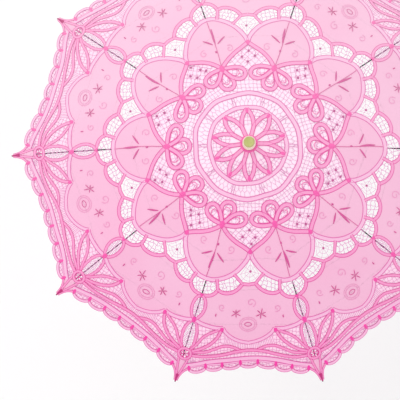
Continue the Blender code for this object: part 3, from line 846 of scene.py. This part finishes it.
def corner(rib):
    """The cloth drawn to a point at the rib's tip."""
    outline = [(358, 0), (366, 9), (373, 14), (379, 7.5), (387, 3.6), (397, 2), (398.5, 0.5)]
    outline += [(x, -y) for x, y in outline[::-1][:-1]]
    cloth(on_rib(outline, rib))
    for side in (-1, 1):
        tape(on_rib([(371, 15), (378, 8), (387, 3.6), (397, 1.6)], rib, side), 3.8, 0.3)
        tape(on_rib([(354, 8), (366, 6), (378, 3.5), (390, 1)], rib, side), 3.8, 0.4)
    hot(on_rib([(392, 0), (384, 0)], rib), 12)
    for x in np.arange(386, 398.5, 1.5):
        half = 0.9 + (399 - x) * 0.13
        loop = on_rib([(x, -half), (x + 0.6, 0), (x, half)], rib)
        bent(loop, 0.9, 1.5 * MM, base=0.9, layer="binding")


def gathered_collar():
    """The centre of the lace, drawn up in pleats round the foot of the finial."""
    pleats, per_pleat = 46, 4
    around = math.tau * np.arange(pleats * per_pleat) / (pleats * per_pleat)
    rows = []
    profile = ((9.6, 0.6), (10.6, 1.7), (12, 1.5), (13.4, 1.0), (14.4, 0.2), (13, -0.9), (10.4, -0.6))
    for radius, height in profile:
        fold = 0.35 * np.sin(around * pleats) * (height > 0)
        plan = np.stack([np.cos(around), np.sin(around)], -1) * radius * MM
        rows.append(lifted(plan, (height + fold) * MM))
    points = np.stack(rows, 1).reshape(-1, 3)
    faces, _ = tube_faces(len(around), len(profile), closed=True)
    across = np.tile(np.linspace(0, 1, len(profile)), len(around))
    along = np.repeat(around * 12 * MM, len(profile))
    return points, faces, across, along, np.ones(len(points))


def lay_out_lace():
    """The whole pattern; the order matters only to the random draws."""
    voile_lining()
    flower()
    rings()
    inner_net()
    for rib in range(RIBS):
        clover(rib)
        petal(rib)
        arch_window(rib)
        centre_window(rib)
        eye(rib)
        outer_band(rib)
        rosette(rib)
        corner(rib)
        for side in (-1, 1):
            window_ring(rib, side)
            bracket(rib, side)
            border_leaves(rib, side)
            border_nets(rib, side)
            hem(rib, side)


# ---------------------------------------------------------------- materials


class Surface:
    """A material built around one Principled shader, with short calls to add nodes."""

    def __init__(self, name, colour, roughness, metallic=0.0, sheen=0.0):
        self.material = bpy.data.materials.new(name)
        self.material.use_nodes = True
        self.nodes = self.material.node_tree.nodes
        self.links = self.material.node_tree.links
        self.shader = self.nodes["Principled BSDF"]
        self.shader.inputs["Base Color"].default_value = (*colour, 1)
        self.shader.inputs["Roughness"].default_value = roughness
        self.shader.inputs["Metallic"].default_value = metallic
        self.shader.inputs["Sheen Weight"].default_value = sheen

    def node(self, kind, **settings):
        made = self.nodes.new(kind)
        for key, value in settings.items():
            setattr(made, key, value)
        return made

    def link(self, source, target):
        self.links.new(source, target)

    def attribute(self, name):
        return self.node("ShaderNodeAttribute", attribute_name=name).outputs["Fac"]

    def object_place(self):
        return self.node("ShaderNodeTexCoord").outputs["Object"]

    def place(self, axis):
        made = self.node("ShaderNodeSeparateXYZ")
        self.link(self.object_place(), made.inputs[0])
        return made.outputs[axis]

    def math(self, operation, *values):
        made = self.node("ShaderNodeMath", operation=operation)
        for socket, value in zip(made.inputs, values):
            if isinstance(value, (int, float)):
                socket.default_value = value
            else:
                self.link(value, socket)
        return made.outputs[0]

    def times(self, first, second):
        return self.math("MULTIPLY", first, second)

    def plus(self, first, second):
        return self.math("ADD", first, second)

    def ridges(self, value, spacing):
        """Rounded ridges from 0 to 1, one for each spacing of a length."""
        return self.math("ABSOLUTE", self.math("SINE", self.times(value, math.pi / spacing)))

    def mix(self, share, first, second, blend="MIX"):
        made = self.node("ShaderNodeMix", data_type="RGBA", blend_type=blend)
        made.clamp_factor = True
        for index, value in ((0, share), (6, first), (7, second)):
            socket = made.inputs[index]
            if isinstance(value, (int, float)):
                socket.default_value = value
            elif isinstance(value, tuple):
                socket.default_value = (*value, 1)
            else:
                self.link(value, socket)
        return made.outputs[2]

    def noise(self, scale, detail=3.0, vector=None):
        made = self.node("ShaderNodeTexNoise")
        made.inputs["Scale"].default_value = scale
        made.inputs["Detail"].default_value = detail
        self.link(vector or self.object_place(), made.inputs["Vector"])
        return made.outputs["Fac"]

    def spread(self, value, low, high, start=0.3, end=0.7, **settings):
        """Maps start..end of a value, which suits a noise's usual range, to low..high."""
        made = self.node("ShaderNodeMapRange", **settings)
        self.link(value, made.inputs["Value"])
        for name, number in (("From Min", start), ("From Max", end), ("To Min", low), ("To Max", high)):
            made.inputs[name].default_value = number
        return made.outputs["Result"]

    def bump(self, height, distance, strength=0.6):
        made = self.node("ShaderNodeBump")
        made.inputs["Strength"].default_value = strength
        made.inputs["Distance"].default_value = distance
        self.link(height, made.inputs["Height"])
        self.link(made.outputs["Normal"], self.shader.inputs["Normal"])

    def colour(self, source):
        self.link(source, self.shader.inputs["Base Color"])

    def rough(self, source):
        self.link(source, self.shader.inputs["Roughness"])

    def weave(self, spacing):
        """The height of a plain weave laid over the plan."""
        return self.math("MAXIMUM", *(self.ridges(self.place(axis), spacing) for axis in "XY"))


def linear(red, green, blue):
    """A colour given as it shows on screen, 0 to 255, in the renderer's own units."""
    return tuple(
        (c / 255 / 12.92) if c / 255 <= 0.04045 else ((c / 255 + 0.055) / 1.055) ** 2.4
        for c in (red, green, blue)
    )


def uneven_dye_and_painted_light(surface, colour, unevenness=0.48):
    """Dye that took a little unevenly, and painted light: paler towards +Y, deeper pink towards -Y."""
    deeper = surface.mix(1.0, colour, (1.0, 0.86, 0.93), "MULTIPLY")
    uneven = surface.mix(surface.spread(surface.noise(7.0, 2.0), 0.0, unevenness), colour, deeper)
    # painted light and shade: the saturation falls from -Y to +Y
    painted_light_saturation = surface.spread(surface.place("Y"), *PAINTED_LIGHT_SATURATION, *PAINTED_LIGHT_REACH)
    painted_light_node = surface.node("ShaderNodeHueSaturation")
    surface.link(uneven, painted_light_node.inputs["Color"])
    surface.link(painted_light_saturation, painted_light_node.inputs["Saturation"])
    return painted_light_node.outputs["Color"]


def tape_material(name, centre, edge):
    """A woven tape: its colour across, its corded edges, darker partly as painted shade, and the deep
    pink of gathered places.
    """
    centre, edge = linear(*centre), linear(*edge)
    s = Surface(name, centre, 0.8, sheen=0.2)
    off_centre = s.math("ABSOLUTE", s.math("SUBTRACT", s.attribute("across"), 0.5))
    # the corded edges take a hotter pink of their own, darkened further as painted shade along the raised
    # cords
    rim = s.spread(off_centre, 0.0, 1.0, 0.24, 0.42, interpolation_type="SMOOTHSTEP")
    stripes = s.ridges(s.attribute("along"), 0.9 * MM)
    ribbed = s.mix(s.times(stripes, 0.3), s.mix(rim, centre, edge), edge)
    # in the gathered places too, the darker edges are partly painted shade
    hot_pink = s.mix(rim, linear(255, 104, 190), linear(240, 66, 164))
    s.colour(uneven_dye_and_painted_light(s, s.mix(s.attribute("heat"), ribbed, hot_pink)))
    s.bump(s.plus(s.times(stripes, 0.7), s.times(s.noise(2600.0, 2.0), 0.5)), 0.12 * MM)
    return s.material


def thread_material(name, light, dark):
    """Twisted thread, deeper pink in the gathered places."""
    s = Surface(name, linear(*light), 0.8, sheen=0.2)
    twist = s.ridges(s.attribute("along"), 0.7 * MM)
    plain = s.mix(s.times(twist, 0.5), linear(*light), linear(*dark))
    s.colour(uneven_dye_and_painted_light(s, s.mix(s.attribute("heat"), plain, linear(240, 84, 170))))
    s.bump(twist, 0.08 * MM)
    return s.material


def knot_material():
    """Rows of stitches in the deepest pink, a little fuzzy."""
    s = Surface("stitched_knot", linear(250, 92, 180), 0.75, sheen=0.3)
    rows = s.ridges(s.attribute("along"), 0.6 * MM)
    s.colour(uneven_dye_and_painted_light(s, s.mix(s.times(rows, 0.5), linear(250, 108, 184), linear(238, 80, 164))))
    s.bump(s.plus(rows, s.noise(1800.0)), 0.2 * MM)
    return s.material


def cloth_material(name, light, dark):
    """Plain woven cloth, light threads with darker gaps."""
    s = Surface(name, linear(*light), 0.85, sheen=0.2)
    weave = s.weave(THREAD_SPACING)
    s.colour(uneven_dye_and_painted_light(s, s.mix(s.times(weave, 0.3), linear(*light), linear(*dark)), 0.64))
    s.bump(s.plus(weave, s.noise(900.0)), 0.07 * MM, 0.5)
    return s.material


def stitch_material(name, light, dark):
    """Rows of satin stitch, a little glossy."""
    s = Surface(name, linear(*light), 0.55, sheen=0.2)
    rows = s.ridges(s.attribute("along"), 0.5 * MM)
    s.colour(uneven_dye_and_painted_light(s, s.mix(s.times(rows, 0.5), linear(*light), linear(*dark))))
    s.bump(rows, 0.15 * MM)
    return s.material


def finishes():
    """The material of each layer, by the kind of piece that the layer goes into."""
    return {
        "lace": {
            "tape": tape_material("pink_tape", (247, 172, 212), (224, 90, 163)),
            "pale_tape": tape_material("pale_tape", (248, 203, 229), (223, 112, 176)),
            "thread": thread_material("lace_thread", (232, 160, 204), (206, 134, 186)),
            "knot": knot_material(),
            "dot": stitch_material("woven_dot", (204, 96, 156), (176, 74, 134)),
            "binding": stitch_material("tip_binding", (208, 34, 128), (156, 20, 96)),
        },
        "voile_lining": {
            "white_voile": cloth_material("white_voile", (255, 232, 246), (251, 222, 240)),
            "pink_voile": cloth_material("pink_voile", (255, 222, 240), (252, 212, 234)),
        },
        "cotton_cloth": {
            "cotton": cloth_material("cotton_lawn", (242, 191, 217), (237, 179, 208)),
            "cord": thread_material("couched_cord", (238, 160, 202), (226, 142, 190)),
            "stitch": stitch_material("satin_stitch", (222, 96, 162), (198, 68, 140)),
        },
    }


def wood_material(name, light, dark, roughness, coat=0.3):
    """Straight-grained wood along Z, under varnish."""
    s = Surface(name, linear(*light), roughness)
    s.shader.inputs["Coat Weight"].default_value = coat
    s.shader.inputs["Coat Roughness"].default_value = 0.15
    stretch = s.node("ShaderNodeMapping")
    stretch.inputs["Scale"].default_value = (160, 160, 9)
    s.link(s.object_place(), stretch.inputs["Vector"])
    grain = s.noise(1.6, 6.0, stretch.outputs[0])
    pores = s.noise(9.0, 2.0, stretch.outputs[0])
    body = s.mix(s.spread(grain, 0.0, 1.0), linear(*light), linear(*dark))
    pits = s.math("GREATER_THAN", pores, 0.64)
    deep = tuple(c * 0.45 for c in linear(*dark))
    s.colour(s.mix(s.times(pits, 0.6), body, deep))
    s.rough(s.spread(grain, roughness - 0.06, roughness + 0.1))
    s.bump(s.math("SUBTRACT", grain, s.times(pits, 0.4)), 0.05 * MM, 0.4)
    return s.material


def finial_material():
    """Olive paint on the finial's face over a cream ground that shows on its side."""
    s = Surface("painted_finial", linear(186, 184, 112), 0.38)
    s.shader.inputs["Coat Weight"].default_value = 0.4
    worn = s.spread(s.noise(160.0, 4.0), 0.0, 1.0)
    face = s.mix(worn, linear(188, 188, 112), linear(172, 172, 96))
    edge = s.plus(s.place("Z"), s.times(s.noise(300.0), 0.8 * MM))
    is_face = s.math("GREATER_THAN", edge, FINIAL_FACE)
    s.colour(s.mix(is_face, s.mix(worn, linear(246, 232, 214), linear(232, 212, 188)), face))
    s.bump(s.noise(400.0), 0.05 * MM, 0.3)
    return s.material


def metal_material(name, colour, roughness, worn, metallic=1.0):
    """Drawn or turned metal with fine scratches and dull patches."""
    s = Surface(name, linear(*colour), roughness, metallic)
    patches = s.noise(90.0, 5.0)
    fine = s.noise(1400.0, 2.0)
    s.colour(s.mix(s.spread(patches, 0.0, 0.6), linear(*colour), linear(*worn)))
    dullness = s.plus(s.times(patches, 0.7), s.times(fine, 0.3))
    s.rough(s.spread(dullness, roughness - 0.08, roughness + 0.14))
    s.bump(fine, 0.02 * MM, 0.3)
    return s.material


def felt_material():
    """Pink felt with loose fibres."""
    s = Surface("felt", linear(226, 150, 186), 0.95, sheen=0.4)
    fibres = s.noise(1500.0, 6.0)
    s.colour(s.mix(s.spread(fibres, 0.0, 0.8), linear(232, 160, 194), linear(206, 124, 164)))
    s.bump(fibres, 0.2 * MM)
    return s.material


# ---------------------------------------------------------------- pieces


def heat_of(points):
    """How deep the pink is at each point, from 0 to 1."""
    heat = np.zeros(len(points))
    for x, y, spread in HOT_SPOTS:
        near = np.flatnonzero(
            (np.abs(points[:, 0] - x) < 2.5 * spread) & (np.abs(points[:, 1] - y) < 2.5 * spread)
        )
        d2 = (points[near, 0] - x) ** 2 + (points[near, 1] - y) ** 2
        heat[near] = np.maximum(heat[near], np.exp(-d2 / spread**2))
    return heat


def joined(elements):
    """Several (points, faces, ...) elements as one set of arrays."""
    start, shifted = 0, []
    for points, faces, *rest in elements:
        shifted.append((points, faces + start, *rest))
        start += len(points)
    return [np.concatenate(part) for part in zip(*shifted)]


def placed(name, data):
    """A new object in the scene."""
    made = bpy.data.objects.new(name, data)
    bpy.context.scene.collection.objects.link(made)
    return made


def make_mesh(name, parts, materials):
    """One mesh from several (points, faces, across, along, heat) parts, a material each."""
    points, faces, *values = joined(parts)
    slots = np.concatenate([np.full(len(part[1]), index) for index, part in enumerate(parts)])
    mesh = bpy.data.meshes.new(name)
    mesh.vertices.add(len(points))
    mesh.vertices.foreach_set("co", points.astype(np.float32).ravel())
    mesh.loops.add(len(faces) * 3)
    mesh.loops.foreach_set("vertex_index", faces.astype(np.int32).ravel())
    mesh.polygons.add(len(faces))
    mesh.polygons.foreach_set("loop_start", np.arange(0, len(faces) * 3, 3, dtype=np.int32))
    mesh.polygons.foreach_set("material_index", slots.astype(np.int32))
    mesh.polygons.foreach_set("use_smooth", np.ones(len(faces), bool))
    mesh.update(calc_edges=True)
    for key, value in zip(("across", "along", "heat"), values):
        attribute = mesh.attributes.new(key, "FLOAT", "POINT")
        attribute.data.foreach_set("value", value.astype(np.float32))
    for material in materials:
        mesh.materials.append(material)
    mesh.validate()
    mesh.set_sharp_from_angle(angle=SHARP_EDGE)
    return placed(name, mesh)


def closed_rib(radius):
    """Where the rib's cloth line at this plan radius lies with the parasol closed."""
    x = radius - HINGE_RADIUS
    z = dome_at(radius) - (dome_at(HINGE_RADIUS) - HINGE_DROP)
    return x * math.cos(CLOSING_ANGLE) + z * math.sin(CLOSING_ANGLE) + HINGE_RADIUS


def fold_axis(rib, side, band):
    """The direction in which a cell folds, tilted so that mid-gore edges still meet.

    The cloth narrows across the rib and its surplus stands outward as a pleat.
    """
    reach = (BANDS[band] + min(BANDS[band + 1], CLOTH_END)) / 2
    slope = math.atan(DOME_SLOPE + 2 * DOME_CURVE * reach)
    width = reach * math.cos(HALF) * math.sin(HALF)
    foot = reach * math.cos(HALF) ** 2
    fall = math.tan(HALF) * math.sin(slope)
    held = 1 - FOLD_KEEP
    low, high = 0.0, STEEPEST_FOLD
    for _ in range(40):
        tilt = (low + high) / 2
        pull = held * (math.cos(tilt) + fall * math.sin(tilt))
        aside = width * (1 - pull * math.cos(tilt))
        out = width * (pull * math.sin(tilt) - fall)
        if aside < math.tan(HALF) * (closed_rib(foot) + out):
            low = tilt
        else:
            high = tilt
    across = Vector((-math.sin(rib * STEP), math.cos(rib * STEP), 0)) * side
    outward = Vector((math.cos(rib * STEP), math.sin(rib * STEP), 0))
    normal = outward * math.sin(slope) + Vector((0, 0, 1)) * math.cos(slope)
    anchor = outward * reach
    anchor.z = dome_at(reach)
    return across * math.cos(tilt) - normal * math.sin(tilt), anchor


def capped(points, faces):
    """Closes the cut ends of a piece, so that it is solid."""
    following = {}
    for start, end in zip(*(side.tolist() for side in open_edges(faces, len(points)))):
        following.setdefault(start, []).append(end)
    caps = []
    for first, ends in following.items():
        while ends:
            loop, now = [first], ends.pop()
            while now != first:
                loop.append(now)
                now = following[now].pop()
            low = min(range(len(loop)), key=lambda k: points[loop[k], 2])
            loop = loop[low:] + loop[:low]
            caps += [(loop[0], loop[k + 1], loop[k]) for k in range(1, len(loop) - 1)]
    return np.concatenate([faces, np.array(caps, faces.dtype)]) if caps else faces


def cloth_area(points, faces):
    """Half of a closed surface, which is the cloth's own area."""
    a, b, c = (points[faces[:, k]] for k in range(3))
    return float(np.linalg.norm(np.cross(b - a, c - a), axis=1).sum() / 4)


def cut_up(groups):
    """Every layer's parts and materials, by the number of their cell and the kind of piece."""
    cut = {}
    for kind, layers in groups.items():
        for name, material in layers.items():
            points, faces, across, along, cell = joined(LAYERS[name])
            values = (across, along, heat_of(points))
            for number in np.unique(cell):
                kept, index = np.unique(faces[cell == number], return_inverse=True)
                closed = capped(points[kept], index.reshape(-1, 3))
                part = (points[kept], closed, *[v[kept] for v in values])
                cut.setdefault(int(number), {}).setdefault(kind, []).append((part, material))
    return cut


def share_out(groups):
    """Makes a piece of each kind in each cell, and lets it ride with its rib."""
    for number, pieces in sorted(cut_up(groups).items()):
        rib, side, band = CELLS[number][0]
        hand = "left" if side > 0 else "right"
        for kind in ("cotton_cloth", "voile_lining"):
            scraps = pieces.get(kind, [])
            if scraps and sum(cloth_area(*part[:2]) for part, _ in scraps) < SMALLEST_PIECE:
                pieces["lace"] += pieces.pop(kind)
        for kind, parts in pieces.items():
            piece = make_mesh(f"{kind}_rib{rib}_{hand}_band{band}", *zip(*parts))
            declare_cloth(parts, rib)
            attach(piece, f"rib_body_{rib}")
            axis, anchor = fold_axis(rib, side, band)
            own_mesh(piece)
            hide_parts(f"canopy_sector_{rib}")


def add_collar(material):
    """The gathered collar as a piece of its own, fixed to the crown."""
    gathers = gathered_collar()
    collar = make_mesh("gathered_collar", [gathers], [material])
    declare_cloth([(gathers, material)], 0)
    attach(collar, "frame")
    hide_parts("canopy_cap")


def declare_cloth(parts, rib):
    """Works out how large the piece lies flat: its own width and length, and its cloth's area; none of it
    is kept.
    """
    area = sum(cloth_area(*part[:2]) for part, _ in parts)
    points = np.concatenate([part[0] for part, _ in parts])
    plan, rise = np.ptp(turned(points[:, :2], -rib * STEP), axis=0), np.ptp(points[:, 2])
    flat = np.array([plan[1], math.hypot(plan[0], rise)])
    area = max(area, OPENEST * flat[0] * flat[1])


# ---------------------------------------------------------------- camera, light and floor


def camera():
    """Almost straight down, from just in front of the parasol, with a long lens."""
    data = bpy.data.cameras.new("camera")
    data.lens = LENS
    data.sensor_width = SENSOR
    data.clip_end = 20
    made = placed("camera", data)
    turn = Matrix.Identity(3)
    for axis, degrees in CAMERA_TILTS:
        turn = turn @ Matrix.Rotation(math.radians(degrees), 3, axis)
    made.matrix_world = Matrix.Translation(CAMERA_PLACE) @ turn.transposed().to_4x4()
    bpy.context.scene.camera = made


def key_light():
    """One wide soft lamp, high behind the parasol on its left."""
    data = bpy.data.lights.new("key", "AREA")
    data.size = LAMP_WIDTH
    data.energy = LAMP_POWER
    made = placed("key", data)
    made.location = LAMP_PLACE
    towards = Vector(LAMP_TARGET) - Vector(LAMP_PLACE)
    made.rotation_euler = towards.to_track_quat("-Z", "Y").to_euler()


def pale_floor():
    """A wide painted floor, well under the parasol."""
    mesh = bpy.data.meshes.new("floor")
    signs = ((-1, -1), (1, -1), (1, 1), (-1, 1))
    mesh.from_pydata([(x * FLOOR_REACH, y * FLOOR_REACH, 0) for x, y in signs], [], [(0, 1, 2, 3)])
    s = Surface("floor_paint", (0.92, 0.92, 0.92), 0.7)
    s.colour(s.mix(s.spread(s.noise(3.0), 0.0, 0.3), (0.93, 0.93, 0.93), (0.9, 0.9, 0.9)))
    mesh.materials.append(s.material)
    floor = placed("floor", mesh)
    floor.location.z = FLOOR


def studio():
    """White light from all around, one lamp and the floor."""
    world = bpy.data.worlds.new("studio")
    world.use_nodes = True
    background = world.node_tree.nodes["Background"]
    background.inputs["Color"].default_value = (1, 1, 1, 1)
    background.inputs["Strength"].default_value = 1.0
    bpy.context.scene.world = world
    bpy.context.scene.view_settings.view_transform = "Standard"
    key_light()
    pale_floor()


def dress_frame():
    """Better materials for the CAD nodes that stay."""
    steel = metal_material("blackened_steel", (20, 16, 20), 0.55, (40, 34, 40), 0.3)
    enamel = metal_material("white_enamelled_steel", (232, 226, 226), 0.3, (214, 208, 208), 0.0)
    wire = metal_material("drawn_wire", (150, 150, 154), 0.35, (110, 108, 112))
    # The tip's dark purple-pink is its own dark colour and also painted shade, standing for the shaded
    # pink cloth at the rib's end.
    tip = metal_material("dark_tip", (96, 24, 62), 0.4, (56, 16, 38), 0.3)
    brass = metal_material("brass", (214, 170, 92), 0.28, (164, 122, 66))
    varnished = wood_material("varnished_wood", (236, 214, 176), (212, 182, 138), 0.32)
    hub = wood_material("hub_wood", (234, 212, 176), (210, 180, 138), 0.4, 0.2)
    finial = finial_material()
    felt = felt_material()
    chosen = {
        "rib_tip": tip, "rib": steel, "stretcher": enamel, "crown_wire": wire, "runner_wire": wire,
        "crown_pin": wire, "stop_pin": wire, "top_spring": wire, "lower_spring": wire,
        "handle_collar": brass, "shaft": varnished, "handle": varnished, "crown_hub": hub,
        "runner": hub, "finial": finial, "crown_washer": felt,
    }
    for name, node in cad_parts.items():
        match = max((key for key in chosen if name.startswith(key)), key=len, default=None)
        if match:
            node.data.materials.clear()
            node.data.materials.append(chosen[match])


camera()
lay_out_lace()
groups = finishes()
share_out(groups)
add_collar(groups["lace"]["knot"])
dress_frame()
studio()
